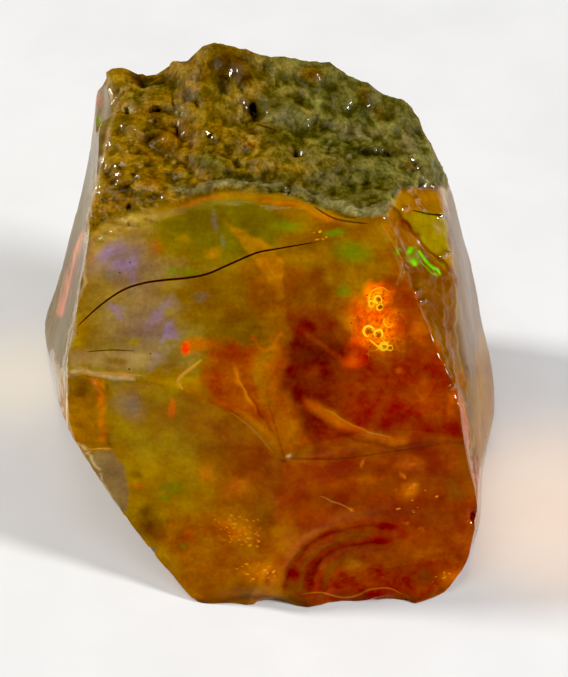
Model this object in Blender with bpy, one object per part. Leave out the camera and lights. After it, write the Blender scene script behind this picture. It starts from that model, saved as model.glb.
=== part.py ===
"""Rough precious opal: a broken nodule of amber opal with a rind of weathered host rock left on its top.

Metres, +Z up. The stone lies on the flat break beneath it. Its large glassy break faces -Y, and the origin is the
bottom centre of its box.

The body is what lies inside every one of its break surfaces. Each surface is flat, bulging or scooped, with its own
relief. A grid of points is sent out from the heart of the stone until each point meets the nearest surface, and grid
points next to an edge between two surfaces are pulled onto that edge, so that the edges stay sharp.
"""

import math
from collections import namedtuple

import bmesh
import bpy
from mathutils import Vector, noise

MM = 0.001

# Driving dimensions
WIDTH = 19.8 * MM
DEPTH = 17.2 * MM
HEIGHT = 15.8 * MM
LUMP_HEIGHT = 0.5 * MM  # how far the lumps of the rind stand up
LUMP_SPACING = 2.4 * MM
RIM_FADE = 1.2 * MM  # the lumps die out over this width towards the front rim
RIPPLE_HEIGHT = 0.10 * MM  # shell-like ripples on the lower front break
RIPPLE_SPACING = 2.2 * MM
RIPPLE_REACH = 3.2 * MM  # where the ripples are strongest, from the point that was struck
SWELL_HEIGHT = 0.10 * MM  # the slow swell of the glassy breaks
SWELL_SPACING = 4.0 * MM
HACKLE_HEIGHT = 0.20 * MM  # the roughness of the torn breaks
HACKLE_SPACING = 1.4 * MM
STRIP_DEPTH = 0.35 * MM  # the rough strip torn out behind the front right edge
STRIP_RADIUS = 0.75 * MM
CELLS = 27  # grid cells along each side of the starting block
SHARP_EDGE = math.radians(42)  # edges steeper than this show as creases

NARROWEST_GLANCE = 0.5  # keeps relief from running away where a ray only grazes a surface
EDGE_SEARCH_STEPS = 14


def at(across, back, up):
    """A place given as shares of the stone's width, depth and height."""
    return Vector((across * WIDTH, back * DEPTH, up * HEIGHT))


HEART = at(0, 0.01, 0.45)

# Corners of the stone, named as seen from the front
RIM_LEFT = at(-0.358, 0.045, 0.880)
RIM_FRONT = at(0.043, 0.046, 0.908)
RIM_RIGHT_FRONT = at(0.242, 0.041, 0.870)
RIM_RIGHT = at(0.368, 0.233, 0.760)
RIM_RIGHT_BACK = at(0.285, 0.405, 0.838)
RIM_LEFT_BACK = at(-0.325, 0.470, 0.935)
SHOULDER_LEFT = at(-0.402, -0.155, 0.646)
SHOULDER_RIGHT = at(0.388, -0.233, 0.544)
WAIST_LEFT = at(-0.407, -0.219, 0.564)
WAIST_MIDDLE = at(0.033, -0.376, 0.439)
WAIST_RIGHT = at(0.423, -0.324, 0.435)
EDGE_END_RIGHT = at(0.427, -0.374, 0.362)
SIDE_LEFT_BACK = at(-0.376, 0.474, 0.760)
SIDE_RIGHT_BACK = at(0.440, 0.372, 0.342)
TORN_TOP = at(-0.330, -0.240, 0.569)
TORN_RIGHT = at(-0.323, -0.256, 0.525)
TORN_LOW = at(-0.412, -0.266, 0.438)
TORN_FOOT = at(-0.354, -0.308, 0.370)
LOW_LEFT = at(-0.380, -0.303, 0.355)
TOE_LEFT = at(-0.153, -0.483, 0.0)
TOE_MIDDLE = at(0.092, -0.488, 0.0)
TOE_RIGHT = at(0.354, -0.471, 0.0)
KNEE_RIGHT = at(0.412, -0.430, 0.209)
FOOT_RIGHT = at(0.490, 0.141, 0.0)
FOOT_RIGHT_BACK = at(0.420, 0.370, 0.0)
FOOT_BACK = at(0.0, 0.440, 0.0)
FOOT_LEFT_BACK = at(-0.520, 0.430, 0.0)
FOOT_LEFT_FRONT = at(-0.455, 0.240, 0.0)
FOOT_LEFT = at(-0.497, 0.384, 0.0)
STRUCK = at(0.22, -0.50, 0.0)
STRIP_TOP = at(0.33, 0.02, 0.79)
STRIP_LOW = at(0.405, -0.19, 0.50)

# Knobs and hollows of the rind: middle, radius, and height (negative for a hollow)
KNOBS = (
    (at(-0.10, 0.47, 0.94), 1.9 * MM, 1.6 * MM),  # the highest, on the back rim
    (at(-0.32, 0.44, 0.91), 1.3 * MM, 0.8 * MM),  # at the left end of the back rim
    (at(-0.23, 0.47, 0.93), 1.1 * MM, -0.6 * MM),
    (at(-0.42, 0.47, 0.93), 2.0 * MM, -1.3 * MM),  # the worn corner left of them
    (at(0.10, 0.48, 0.95), 1.8 * MM, 0.8 * MM),
    (at(0.20, 0.44, 0.90), 1.5 * MM, 0.5 * MM),
    (at(0.20, 0.28, 0.92), 1.6 * MM, -0.5 * MM),  # the bowl in its right half
    (at(0.32, 0.14, 0.82), 1.5 * MM, -0.6 * MM),  # where it dips to the small right facet
)


def rise(place, middle, radius, height):
    """How far a rounded knob or hollow lifts the surface at a place."""
    return height * math.exp(-(((place - middle).length / radius) ** 2))


def level(place):
    return 0.0


def smooth_break(place):
    """The slow swell of a glassy break."""
    return SWELL_HEIGHT * noise.noise(place / SWELL_SPACING)


def hackle(place):
    """The rough, torn look of a break that ran through weaker opal."""
    return HACKLE_HEIGHT * noise.fractal(place / HACKLE_SPACING, 0.7, 2.0, 2)


def rind(place):
    """Weathered host rock: lumps and small pits that die out towards the front rim, and the large knobs."""
    fade = min(1.0, max(0.2, (place.y - RIM_FRONT.y) / RIM_FADE))
    lumps = LUMP_HEIGHT * noise.fractal(place / LUMP_SPACING, 0.8, 2.1, 3)
    return fade * (lumps + sum(rise(place, *knob) for knob in KNOBS))


def ripples(place):
    """Shell-like ripples that spread from the point at the ground where the lower front was struck."""
    distance = (place - STRUCK).length
    fade = math.exp(-(((distance - RIPPLE_REACH) / (0.75 * RIPPLE_REACH)) ** 2))
    return smooth_break(place) + RIPPLE_HEIGHT * fade * math.sin(2 * math.pi * distance / RIPPLE_SPACING)


def torn_strip(place):
    """The glassy right flank, with a rough strip torn out of it just behind its front edge."""
    length = STRIP_LOW - STRIP_TOP
    along = min(1.0, max(0.0, (place - STRIP_TOP).dot(length) / length.length_squared))
    inside = rise(place, STRIP_TOP.lerp(STRIP_LOW, along), STRIP_RADIUS, 1.0)
    return smooth_break(place) + inside * (hackle(place) - STRIP_DEPTH)


Break = namedtuple("Break", "name middle normal bend relief")


def break_through(name, corners, bend, relief):
    """A break surface through three corners: flat where bend is 0, bulging with that radius, or scooped if negative.

    middle is a point of a flat surface, and otherwise the centre of the ball that the surface belongs to.
    """
    first, second, third = corners
    to_second, to_third = second - first, third - first
    across = to_second.cross(to_third)
    normal = across.normalized()
    if normal.dot(first - HEART) < 0:
        normal.negate()
    if not bend:
        return Break(name, first, normal, 0, relief)
    ring_middle = first + (
        to_third.length_squared * across.cross(to_second) + to_second.length_squared * to_third.cross(across)
    ) / (2 * across.length_squared)
    ring_radius = (first - ring_middle).length
    depth = math.sqrt(bend**2 - ring_radius**2)
    return Break(name, ring_middle - normal * math.copysign(depth, bend), normal, bend, relief)


BREAKS = (
    break_through("resting", (TOE_LEFT, TOE_RIGHT, FOOT_BACK), 0, level),
    break_through("rind", (RIM_LEFT, RIM_RIGHT_FRONT, RIM_LEFT_BACK), 40 * MM, rind),
    break_through("rind_corner", (at(0.21, 0.17, 0.93), RIM_RIGHT, RIM_RIGHT_BACK), 0, rind),
    break_through("front_upper", (SHOULDER_LEFT, RIM_FRONT, EDGE_END_RIGHT), 45 * MM, smooth_break),
    break_through("front_left", (TORN_TOP, WAIST_MIDDLE, TOE_LEFT), -32 * MM, ripples),
    break_through("front_right", (WAIST_MIDDLE, WAIST_RIGHT, TOE_MIDDLE), -45 * MM, ripples),
    break_through("left_flank", (FOOT_LEFT_BACK, SHOULDER_LEFT, SIDE_LEFT_BACK), -60 * MM, smooth_break),
    break_through("left_wall", (at(-0.417, -0.200, 0.557), TORN_LOW, FOOT_LEFT), 0, smooth_break),
    break_through("left_undercut", (FOOT_LEFT_FRONT, LOW_LEFT, TOE_LEFT), 45 * MM, smooth_break),
    break_through("left_torn", (WAIST_LEFT, TORN_RIGHT, TORN_FOOT), -4 * MM, hackle),
    break_through("right_flank", (FOOT_RIGHT, SHOULDER_RIGHT, SIDE_RIGHT_BACK), 60 * MM, torn_strip),
    break_through("right_lower", (EDGE_END_RIGHT, KNEE_RIGHT, FOOT_RIGHT), 0, smooth_break),
    break_through("right_toe", (TOE_RIGHT, at(0.424, -0.46, 0.15), at(0.44, -0.20, 0.0)), 25 * MM, smooth_break),
    break_through("right_facet", (RIM_RIGHT_FRONT, RIM_RIGHT, SHOULDER_RIGHT), 0, smooth_break),
    break_through("back", (RIM_LEFT_BACK, RIM_RIGHT_BACK, at(0.0, 0.51, 0.2)), 45 * MM, hackle),
    break_through(
        "back_scoop", (at(-0.22, 0.49, 0.62), at(0.22, 0.48, 0.58), at(0.0, 0.50, 0.22)), -10 * MM, smooth_break
    ),
    break_through("back_right", (RIM_RIGHT_BACK, SIDE_RIGHT_BACK, at(0.26, 0.51, 0.2)), -40 * MM, smooth_break),
    break_through("back_right_foot", (SIDE_RIGHT_BACK, FOOT_RIGHT, FOOT_RIGHT_BACK), 0, smooth_break),
    break_through("back_left", (SIDE_LEFT_BACK, FOOT_LEFT_BACK, at(-0.33, 0.51, 0.2)), 0, smooth_break),
    break_through("back_foot", (at(-0.2, 0.51, 0.2), at(0.2, 0.51, 0.17), FOOT_BACK), 0, smooth_break),
)


def reach(surface, ray):
    """How far from the heart the ray meets this surface, or infinity where it doesn't."""
    offset = surface.middle - HEART
    glance = ray.dot(surface.normal)
    if surface.bend:
        along = ray.dot(offset)
        inside = along**2 - offset.length_squared + surface.bend**2
        if inside < 0:
            return math.inf
        distance = along + math.copysign(math.sqrt(inside), surface.bend)
    elif glance > 0:
        distance = offset.dot(surface.normal) / glance
    else:
        return math.inf
    if distance <= 0 or distance > 3 * WIDTH:
        return math.inf
    return distance + surface.relief(HEART + ray * distance) / max(glance, NARROWEST_GLANCE)


def nearest(ray):
    """The distance along the ray to the stone's skin, and the number of the surface met there."""
    return min((reach(surface, ray), number) for number, surface in enumerate(BREAKS))


def ray_towards(corner):
    """The direction of a point of the starting block, which has the stone's proportions."""
    spread = [math.tan(share * math.pi / 4) for share in corner]
    return Vector((spread[0] * WIDTH, spread[1] * DEPTH, spread[2] * HEIGHT)).normalized()


def edge_between(first, second, number):
    """How far from first to second, as a share, the surface with this number ends."""
    low, high = 0.0, 1.0
    for _ in range(EDGE_SEARCH_STEPS):
        middle = (low + high) / 2
        if nearest(ray_towards(first.lerp(second, middle)))[1] == number:
            low = middle
        else:
            high = middle
    return (low + high) / 2


def pull_onto_edges(block, numbers):
    """Moves the block's points next to an edge between two surfaces onto it, and returns those that moved."""
    closest = {}
    for side in block.edges:
        first, second = side.verts
        if numbers[first] == numbers[second]:
            continue
        share = edge_between(first.co, second.co, numbers[first])
        moved, gap = (first, share) if share < 0.5 else (second, 1 - share)
        if gap < closest.get(moved, (1.0, None))[0]:
            closest[moved] = (gap, first.co.lerp(second.co, share))
    for point, (_, place) in closest.items():
        point.co = place
    return set(closest)


def split_along_edges(block, on_edge):
    """Cuts each square cell into two triangles, along the stone's edge where one crosses the cell."""
    for cell in list(block.faces):
        corners = list(cell.verts)
        flags = [corner in on_edge for corner in corners]
        start = 0
        if flags[1] and flags[3] and not (flags[0] and flags[2]):
            start = 1
        elif not (flags[0] and flags[2]):
            heights = [corner.co.length for corner in corners]
            start = 0 if abs(heights[0] - heights[2]) < abs(heights[1] - heights[3]) else 1
        bmesh.utils.face_split(cell, corners[start], corners[start + 2])


def skin_of_stone():
    """The stone's closed skin, as triangles."""
    block = bmesh.new()
    bmesh.ops.create_cube(block, size=2.0)
    bmesh.ops.subdivide_edges(block, edges=block.edges[:], cuts=CELLS - 1, use_grid_fill=True)
    numbers = {point: nearest(ray_towards(point.co))[1] for point in block.verts}
    on_edge = pull_onto_edges(block, numbers)
    for point in block.verts:
        ray = ray_towards(point.co)
        point.co = HEART + ray * nearest(ray)[0]
    split_along_edges(block, on_edge)
    bmesh.ops.recalc_face_normals(block, faces=block.faces[:])
    return block


def foot_of(skin):
    """The bottom centre of the box around the skin."""
    low = Vector([min(point.co[axis] for point in skin.verts) for axis in range(3)])
    high = Vector([max(point.co[axis] for point in skin.verts) for axis in range(3)])
    return Vector(((low.x + high.x) / 2, (low.y + high.y) / 2, low.z))


def amber_opal():
    material = bpy.data.materials.new("amber_opal")
    material.use_nodes = True
    shader = material.node_tree.nodes["Principled BSDF"]
    shader.inputs["Base Color"].default_value = (0.62, 0.24, 0.03, 1.0)
    shader.inputs["Roughness"].default_value = 0.12
    shader.inputs["Metallic"].default_value = 0.0
    shader.inputs["IOR"].default_value = 1.44
    shader.inputs["Transmission Weight"].default_value = 0.6
    return material


def make_stone():
    skin = skin_of_stone()
    bmesh.ops.translate(skin, verts=skin.verts[:], vec=-foot_of(skin))
    mesh = bpy.data.meshes.new("opal_stone")
    skin.to_mesh(mesh)
    skin.free()
    mesh.materials.append(amber_opal())
    mesh.shade_smooth()
    mesh.set_sharp_from_angle(angle=SHARP_EDGE)
    stone = bpy.data.objects.new("opal_stone", mesh)
    bpy.context.scene.collection.objects.link(stone)
    return stone


def main():
    for old in list(bpy.data.objects):
        bpy.data.objects.remove(old)
    make_stone()


main()
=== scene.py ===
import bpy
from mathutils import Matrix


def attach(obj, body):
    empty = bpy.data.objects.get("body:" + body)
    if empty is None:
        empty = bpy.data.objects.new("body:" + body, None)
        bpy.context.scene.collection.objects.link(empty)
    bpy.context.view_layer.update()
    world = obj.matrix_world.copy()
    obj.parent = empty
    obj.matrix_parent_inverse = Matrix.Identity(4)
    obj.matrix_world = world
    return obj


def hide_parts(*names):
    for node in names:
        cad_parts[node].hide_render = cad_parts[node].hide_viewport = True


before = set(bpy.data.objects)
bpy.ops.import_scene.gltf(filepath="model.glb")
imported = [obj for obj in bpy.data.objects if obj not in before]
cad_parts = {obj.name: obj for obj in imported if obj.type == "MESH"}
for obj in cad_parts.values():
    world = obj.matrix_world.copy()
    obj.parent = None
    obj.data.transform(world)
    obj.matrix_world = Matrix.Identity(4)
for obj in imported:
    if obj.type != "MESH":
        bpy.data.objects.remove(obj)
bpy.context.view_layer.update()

import copy
import math

import bmesh
import bpy
import numpy as np
from mathutils import Vector, noise

MM = 0.001
NOISE_SEED = 3
noise.seed_set(NOISE_SEED)

# The camera's view. Places on the stone are given below as points of the 568 x 677 picture, and each is
# carried onto the stone along that view, so the marks are laid on its real surface.
PICTURE_WIDTH, PICTURE_HEIGHT = 568, 677
LENS = 192.0
SENSOR = 36.0
DISTANCE = 150 * MM
AIM = Vector((0.735, -0.291, 7.31)) * MM
TILT = math.radians(45)
TOWARDS_CAMERA = Vector((0.0, -math.cos(TILT), math.sin(TILT)))
PICTURE_RIGHT = Vector((1.0, 0.0, 0.0))
PICTURE_UP = TOWARDS_CAMERA.cross(PICTURE_RIGHT)
EYE = AIM + TOWARDS_CAMERA * DISTANCE
FOCUS = LENS / SENSOR * PICTURE_HEIGHT

SHARP_EDGE = math.radians(30)
EDGE_HOLD = 0.85
WELD = 0.002 * MM
FLOOR_GAP = 0.02 * MM
RIPPLE_CENTRE = (370, 612)
RIPPLE_SPACING = 17.5
LOOSE = (11, 6)
LINE_REACH = 12
FAR = 20.0
FACES_CAMERA = 0.12


def in_picture(places):
    """Picture points of an array of places."""
    offset = places - np.array(EYE)
    depth = -(offset @ np.array(TOWARDS_CAMERA))
    across = PICTURE_WIDTH / 2 + FOCUS * (offset @ np.array(PICTURE_RIGHT)) / depth
    down = PICTURE_HEIGHT / 2 - FOCUS * (offset @ np.array(PICTURE_UP)) / depth
    return across, down


def tone(red, green, blue):
    """A colour picked as 0 to 255 screen values, as the shader's own linear values."""
    steps = [value / 255 for value in (red, green, blue)]
    return np.array([s / 12.92 if s <= 0.04045 else ((s + 0.055) / 1.055) ** 2.4 for s in steps])


# The opal's colours

KHAKI = tone(128, 102, 42)
OLIVE = tone(104, 88, 10)
OLIVE_AMBER = tone(136, 92, 4)
YELLOW_OLIVE = tone(154, 114, 8)
YELLOW_GREEN = tone(150, 124, 14)
HONEY = tone(160, 104, 8)
GOLD_BROWN = tone(152, 86, 4)
SMOKE = tone(114, 80, 24)
SIDE_BROWN = tone(102, 66, 12)
AMBER = tone(144, 64, 3)
BROWN_AMBER = tone(114, 66, 4)
BURNT_AMBER = tone(130, 43, 1)
RED_AMBER = tone(100, 30, 1)
DEEP_RED = tone(84, 28, 1)
DARK_BROWN = tone(88, 50, 4)
ORANGE = tone(184, 88, 8)
BRIGHT_ORANGE = tone(208, 110, 14)
FLAME = tone(246, 104, 6)
HOT_RED = tone(250, 60, 6)
YELLOW_FIRE = tone(255, 140, 10)
VIOLET_GREY = tone(120, 98, 98)
VIOLET = tone(134, 108, 150)
BLUE_GREY = tone(106, 108, 96)
MOSS_GREEN = tone(96, 112, 24)
LEAF_GREEN = tone(86, 134, 6)
LIVE_GREEN = tone(76, 180, 20)
TAN = tone(152, 122, 74)
CREAM = tone(212, 186, 136)
PEACH = tone(226, 130, 86)

# The colours of spots and fine lines, as the shader's own values

FIRE_SHADOW = (0.42, 0.05, 0.0, 1.0)
FIRE_GLINT = (1.0, 0.34, 0.01, 1.0)
EMBER = (0.30, 0.05, 0.0, 1.0)
# the two golds are painted highlights: glints of light passing through the stone
SMALL_GOLD_GLINT = (0.95, 0.30, 0.01, 1.0)
LARGE_GOLD_GLINT = (1.0, 0.42, 0.02, 1.0)
PINHOLE = (0.02, 0.01, 0.002, 1.0)
PALE_LINE = (0.75, 0.34, 0.06, 1.0)
FIRE_LINE = (1.0, 0.56, 0.03, 1.0)
DARK_LINE = (0.035, 0.012, 0.004, 1.0)

# The rind's colours

OCHRE = tone(136, 100, 26)
SAND = tone(134, 104, 36)
RUST = tone(112, 68, 6)
KNOB_BROWN = tone(78, 50, 8)
MOSS = tone(106, 98, 46)
GREY_MOSS = tone(116, 106, 66)
DARK_MOSS = tone(68, 60, 26)
PALE_STONE = tone(146, 132, 84)
SOOT = tone(34, 28, 8)


def ease(low, high, values):
    """0 below low, 1 above high, and a smooth rise between."""
    share = np.clip((values - low) / (high - low), 0.0, 1.0)
    return share * share * (3 - 2 * share)


# Selecting and finishing


def only(piece):
    """Makes this the one selected and active object."""
    bpy.ops.object.select_all(action="DESELECT")
    piece.select_set(True)
    bpy.context.view_layer.objects.active = piece


def apply_all(piece):
    """Applies the piece's modifiers."""
    only(piece)
    for modifier in list(piece.modifiers):
        bpy.ops.object.modifier_apply(modifier=modifier.name)


# The stone's surface, refined for the fine relief


def stone_surface():
    """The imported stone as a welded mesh, subdivided with sharp edges kept, finer where the camera looks."""
    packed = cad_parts["opal_stone"]
    stone = bpy.data.objects.new("opal_surface", packed.data.copy())
    bpy.context.scene.collection.objects.link(stone)
    only(stone)
    bpy.ops.mesh.customdata_custom_splitnormals_clear()
    bpy.ops.object.mode_set(mode="EDIT")
    bpy.ops.mesh.select_all(action="SELECT")
    bpy.ops.mesh.remove_doubles(threshold=WELD)
    bpy.ops.mesh.tris_convert_to_quads(face_threshold=math.radians(60), shape_threshold=math.radians(70))
    bpy.ops.mesh.select_all(action="DESELECT")
    bpy.ops.mesh.select_mode(type="EDGE")
    bpy.ops.mesh.edges_select_sharp(sharpness=SHARP_EDGE)
    bpy.ops.transform.edge_crease(value=EDGE_HOLD)
    bpy.ops.object.mode_set(mode="OBJECT")
    smooth = stone.modifiers.new("smooth", "SUBSURF")
    smooth.levels = smooth.render_levels = 1
    apply_all(stone)
    bpy.ops.object.mode_set(mode="EDIT")
    shape = bmesh.from_edit_mesh(stone.data)
    for face in shape.faces:
        face.select_set(face.normal.dot(TOWARDS_CAMERA) > FACES_CAMERA)
    shape.select_flush_mode()
    bmesh.update_edit_mesh(stone.data)
    bpy.ops.mesh.subdivide(number_cuts=2, smoothness=0.0)
    bpy.ops.mesh.select_all(action="SELECT")
    bpy.ops.mesh.normals_make_consistent(inside=False)
    bpy.ops.object.mode_set(mode="OBJECT")
    return stone


def bend(points, steps=4):
    """The points of a smooth line through these."""
    ends = [points[0]] + list(points) + [points[-1]]
    line = []
    for before, first, second, after in zip(ends, ends[1:], ends[2:], ends[3:]):
        for step in range(steps):
            t = step / steps
            line.append(tuple(
                b + t * (c - a) / 2 + t * t * (a - 2.5 * b + 2 * c - d / 2)
                + t ** 3 * (1.5 * (b - c) + (d - a) / 2)
                for a, b, c, d in zip(before, first, second, after)))
    return line + [points[-1]]


def threes(points, name):
    """One kind of value of a mesh's points, three numbers for each."""
    values = np.empty(len(points) * 3)
    points.foreach_get(name, values)
    return values.reshape(-1, 3)


class Surface:
    """The stone's points as arrays: their places, how they face, and where they are in the picture."""

    def __init__(self, stone):
        self.places = threes(stone.data.vertices, "co")
        self.normals = threes(stone.data.vertices, "normal")
        self.facing = self.normals @ np.array(TOWARDS_CAMERA)
        self.across, self.down = in_picture(self.places)
        self.coarse = self.wander(2.2 * MM, 0.0)
        self.fine = self.wander(0.5 * MM, 40.0)

    def wander(self, size, shift):
        """Smooth random values from -1 to 1 over the surface, two for each point."""
        offset = Vector((shift, shift * 0.7, shift * 0.3))
        rows = [noise.noise_vector(Vector(place) / size + offset) for place in self.places]
        return np.array([(row.x, row.y) for row in rows])

    def wavy(self, slow=5.0, quick=3.0):
        """The same surface with its picture points pushed about, so that edges laid on it waver."""
        other = copy.copy(self)
        other.across = self.across + slow * self.coarse[:, 0] + quick * self.fine[:, 0]
        other.down = self.down + slow * self.coarse[:, 1] + quick * self.fine[:, 1]
        return other

    def oval(self, across, down, wide, high=None, turn=0.0, soft=1.0):
        """An oval, 1 in its middle. turn is in degrees, clockwise; soft is the share that fades."""
        angle = math.radians(turn)
        x, y = self.across - across, self.down - down
        along = (x * math.cos(angle) + y * math.sin(angle)) / wide
        over = (y * math.cos(angle) - x * math.sin(angle)) / (high or wide)
        return 1 - ease(1 - soft, 1.0, np.hypot(along, over))

    def to_line(self, points, reach):
        """Each point's signed distance from a line of straight runs, up to reach, and how far along the
        line that is, from 0 to 1."""
        corners = np.array(points, dtype=float)
        low, high = corners.min(axis=0) - reach, corners.max(axis=0) + reach
        near = np.nonzero((self.across > low[0]) & (self.across < high[0])
                          & (self.down > low[1]) & (self.down < high[1]))[0]
        x, y = self.across[near], self.down[near]
        nearest, signed, along = np.full(len(near), 1e9), np.full(len(near), 1e9), np.zeros(len(near))
        for run, ((x0, y0), (x1, y1)) in enumerate(zip(points, points[1:])):
            length = math.hypot(x1 - x0, y1 - y0)
            share = np.clip(((x - x0) * (x1 - x0) + (y - y0) * (y1 - y0)) / length ** 2, 0, 1)
            away = np.hypot(x - x0 - share * (x1 - x0), y - y0 - share * (y1 - y0))
            closer = away < nearest
            side = np.sign((x1 - x0) * (y - y0) - (y1 - y0) * (x - x0))
            nearest = np.where(closer, away, nearest)
            signed = np.where(closer, away * side, signed)
            along = np.where(closer, (run + share) / (len(points) - 1), along)
        whole, whole_along = np.full(len(self.across), 1e9), np.zeros(len(self.across))
        whole[near], whole_along[near] = signed, along
        return whole, whole_along

    def stroke(self, points, width):
        """A smooth line, 1 along its middle and 0 half the width away from it."""
        return 1 - ease(0.0, 1.0, np.abs(self.to_line(bend(points), width)[0]) / (width / 2))

    def area(self, corners, edge):
        """A region with these corners, 1 inside it, with an edge that fades over so many picture points."""
        inside = np.zeros(len(self.across), dtype=bool)
        for (x0, y0), (x1, y1) in zip(corners, corners[1:] + corners[:1]):
            if y0 == y1:
                continue
            crosses = (self.down >= min(y0, y1)) & (self.down < max(y0, y1))
            inside ^= crosses & (self.across < x0 + (self.down - y0) * (x1 - x0) / (y1 - y0))
        away = np.abs(self.to_line(corners + corners[:1], edge)[0])
        return ease(-edge / 2, edge / 2, np.where(inside, away, -away))


def hollowness(stone, surface, rings):
    """How far each point lies under the mean of so many rings of points around it."""
    count = len(surface.places)
    ends = np.empty(len(stone.data.edges) * 2, dtype=np.int32)
    stone.data.edges.foreach_get("vertices", ends)
    first, second = ends[0::2], ends[1::2]
    neighbours = np.bincount(ends, minlength=count)
    level = surface.places
    for _ in range(rings):
        level = np.column_stack([
            np.bincount(first, level[second, axis], count) + np.bincount(second, level[first, axis], count)
            for axis in range(3)
        ]) / neighbours[:, None]
    return ((level - surface.places) * surface.normals).sum(axis=1)


RIND_FRONT = [
    (86, 232), (110, 218), (150, 206), (190, 197), (230, 192), (290, 198), (330, 212), (360, 222),
    (385, 216), (400, 192), (447, 187),
]
RIND_OUTLINE = RIND_FRONT + [
    (480, 150), (440, 80), (390, 50), (300, 30), (225, 10), (150, 30), (110, 40), (109, 80), (116, 111),
    (104, 152), (95, 190),
]
EDGE_LEFT = [
    (109, 80), (117, 111), (104, 152), (95, 190), (86, 236), (84, 281), (76, 303), (72, 331), (69, 348),
    (67, 376),
]
EDGE_RIGHT = [(385, 205), (400, 250), (430, 310), (450, 370), (470, 430), (477, 475)]
TORN_LEFT = [(64, 374), (107, 378), (113, 450), (88, 454), (60, 425)]
TORN_RIGHT = [
    (396, 222), (414, 236), (430, 256), (456, 280), (453, 340), (450, 388), (444, 372), (424, 312),
    (398, 256),
]
FLANK_LEFT = [
    (98, 84), (109, 80), (116, 111), (104, 152), (95, 190), (86, 236), (82, 281), (74, 303), (66, 371),
    (40, 335), (60, 257), (84, 150),
]
FLANK_RIGHT = [(446, 188), (470, 190), (500, 330), (496, 430), (478, 470), (456, 392), (453, 300)]
UNDER_LIP = [(120, 218), (160, 210), (190, 203), (230, 198), (290, 203), (330, 217), (362, 228)]
CREASE = [
    (70, 373), (130, 378), (180, 385), (215, 405), (240, 425), (285, 455), (400, 450), (430, 445),
    (475, 440),
]


def seen(surface):
    """1 where the surface faces the camera, and 0 where it is turned away."""
    return ease(-0.02, 0.12, surface.facing)


def rind_share(surface):
    """Where the weathered rind is: the area seen from the front, and what lies just over the back rim."""
    top = np.maximum(seen(surface), ease(0.3, 0.6, surface.normals[:, 2])) * surface.area(RIND_OUTLINE, 7)
    height = surface.places[:, 2] + 0.7 * MM * surface.coarse[:, 0]
    over_rim = ease(13.6 * MM, 14.6 * MM, height) * (1 - seen(surface))
    return np.clip(top + over_rim, 0, 1)


def weigh(stone, name, weights):
    """Paints a vertex group with these weights."""
    group = stone.vertex_groups.new(name=name)
    for number in np.nonzero(weights > 0.004)[0]:
        group.add([int(number)], float(weights[number]), "REPLACE")


def lift(stone, group, height, texture=None, middle=0.0, way="NORMAL"):
    """Moves the surface out by height where the group is painted, by a texture's brightness if given."""
    modifier = stone.modifiers.new(group, "DISPLACE")
    modifier.vertex_group = group
    modifier.strength = height
    modifier.mid_level = middle
    modifier.direction = way
    if texture:
        modifier.texture = texture
        modifier.texture_coords = "LOCAL"
    only(stone)
    bpy.ops.object.modifier_apply(modifier=modifier.name)


def lift_all(stone, rows):
    """Lifts by each row: a group, its height in mm, and the texture and its middle brightness if any."""
    for group, height, *texture in rows:
        lift(stone, group, height * MM, *texture)


def clouds(name, size, depth=2):
    """A soft cloudy texture."""
    texture = bpy.data.textures.new(name, "CLOUDS")
    texture.noise_scale = size
    texture.noise_depth = depth
    return texture


def pits(name, size):
    """A texture of round cells, dark in their middles."""
    texture = bpy.data.textures.new(name, "VORONOI")
    texture.noise_scale = size
    return texture


WET_BEADS = [
    (128, 86), (119, 90), (130, 96), (147, 109), (125, 128), (126, 140), (134, 150), (147, 134), (153, 143),
    (119, 173), (123, 164), (133, 187), (130, 194), (149, 193), (165, 197), (144, 209), (152, 219),
    (107, 217), (125, 224), (113, 233), (167, 156), (174, 163), (141, 165), (230, 77), (226, 76),
    (249, 149), (330, 141), (333, 150), (326, 147), (266, 99), (412, 157), (418, 166), (410, 188),
    (421, 187), (432, 187), (396, 190), (375, 149), (348, 156), (200, 62), (286, 192), (205, 134),
    (116, 88), (126, 92), (133, 108), (151, 120), (135, 142), (152, 144), (113, 162), (115, 167),
    (175, 174), (120, 181), (105, 219), (121, 221), (134, 223), (104, 213), (246, 146), (215, 138),
    (127, 152), (139, 176), (156, 206), (99, 240),
]
FACET_BEADS = [
    (405, 208), (416, 199), (440, 217), (447, 253), (443, 255), (418, 291), (423, 301), (452, 387),
]
LIP = [(150, 203), (190, 192), (230, 186), (290, 192), (330, 205), (362, 214), (388, 203)]
ROUGH_LEFT = [(96, 160), (150, 190), (160, 225), (120, 240), (88, 262), (84, 300), (92, 200)]
BACK_RIM = [(176, 66), (225, 48), (257, 56), (300, 62), (333, 68), (365, 84), (390, 98), (404, 116)]


def set_outline(stone):
    """Small moves of whole corners, so that the stone's outline has its right reach."""
    surface = Surface(stone)
    rim = surface.stroke(BACK_RIM, 64) * ease(6 * MM, 10 * MM, surface.places[:, 2])
    foot = surface.stroke([(318, 606), (360, 608), (404, 604)], 84)
    moves = (
        ("back_rim", rim, 0.26, "ZY"),
        ("top_left_corner", surface.oval(103, 74, 24, 20), -0.24, ["NORMAL"]),
        ("peak_left", surface.oval(185, 50, 26, 26), -0.90, "Z"),
        ("peak_right", surface.oval(246, 46, 26, 24), 0.26, "Z"),
        ("toe", surface.oval(247, 616, 58, 36), 0.55, "Y"),
        ("right_toe", surface.oval(448, 598, 84, 48), -0.40, "Y"),
        ("front_foot", foot, -0.55, "Y"),
        ("right_foot", surface.oval(478, 530, 60, 70), 0.30, "X"),
        ("right_flank", surface.oval(494, 376, 46, 80), 0.16, "X"),
        ("left_flank", surface.oval(46, 336, 36, 44), -0.16, "X"),
    )
    for name, mask, _, _ in moves:
        weigh(stone, name, mask)
    for name, _, height, ways in moves:
        for way in ways:
            lift(stone, name, height * MM, way=way)


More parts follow.
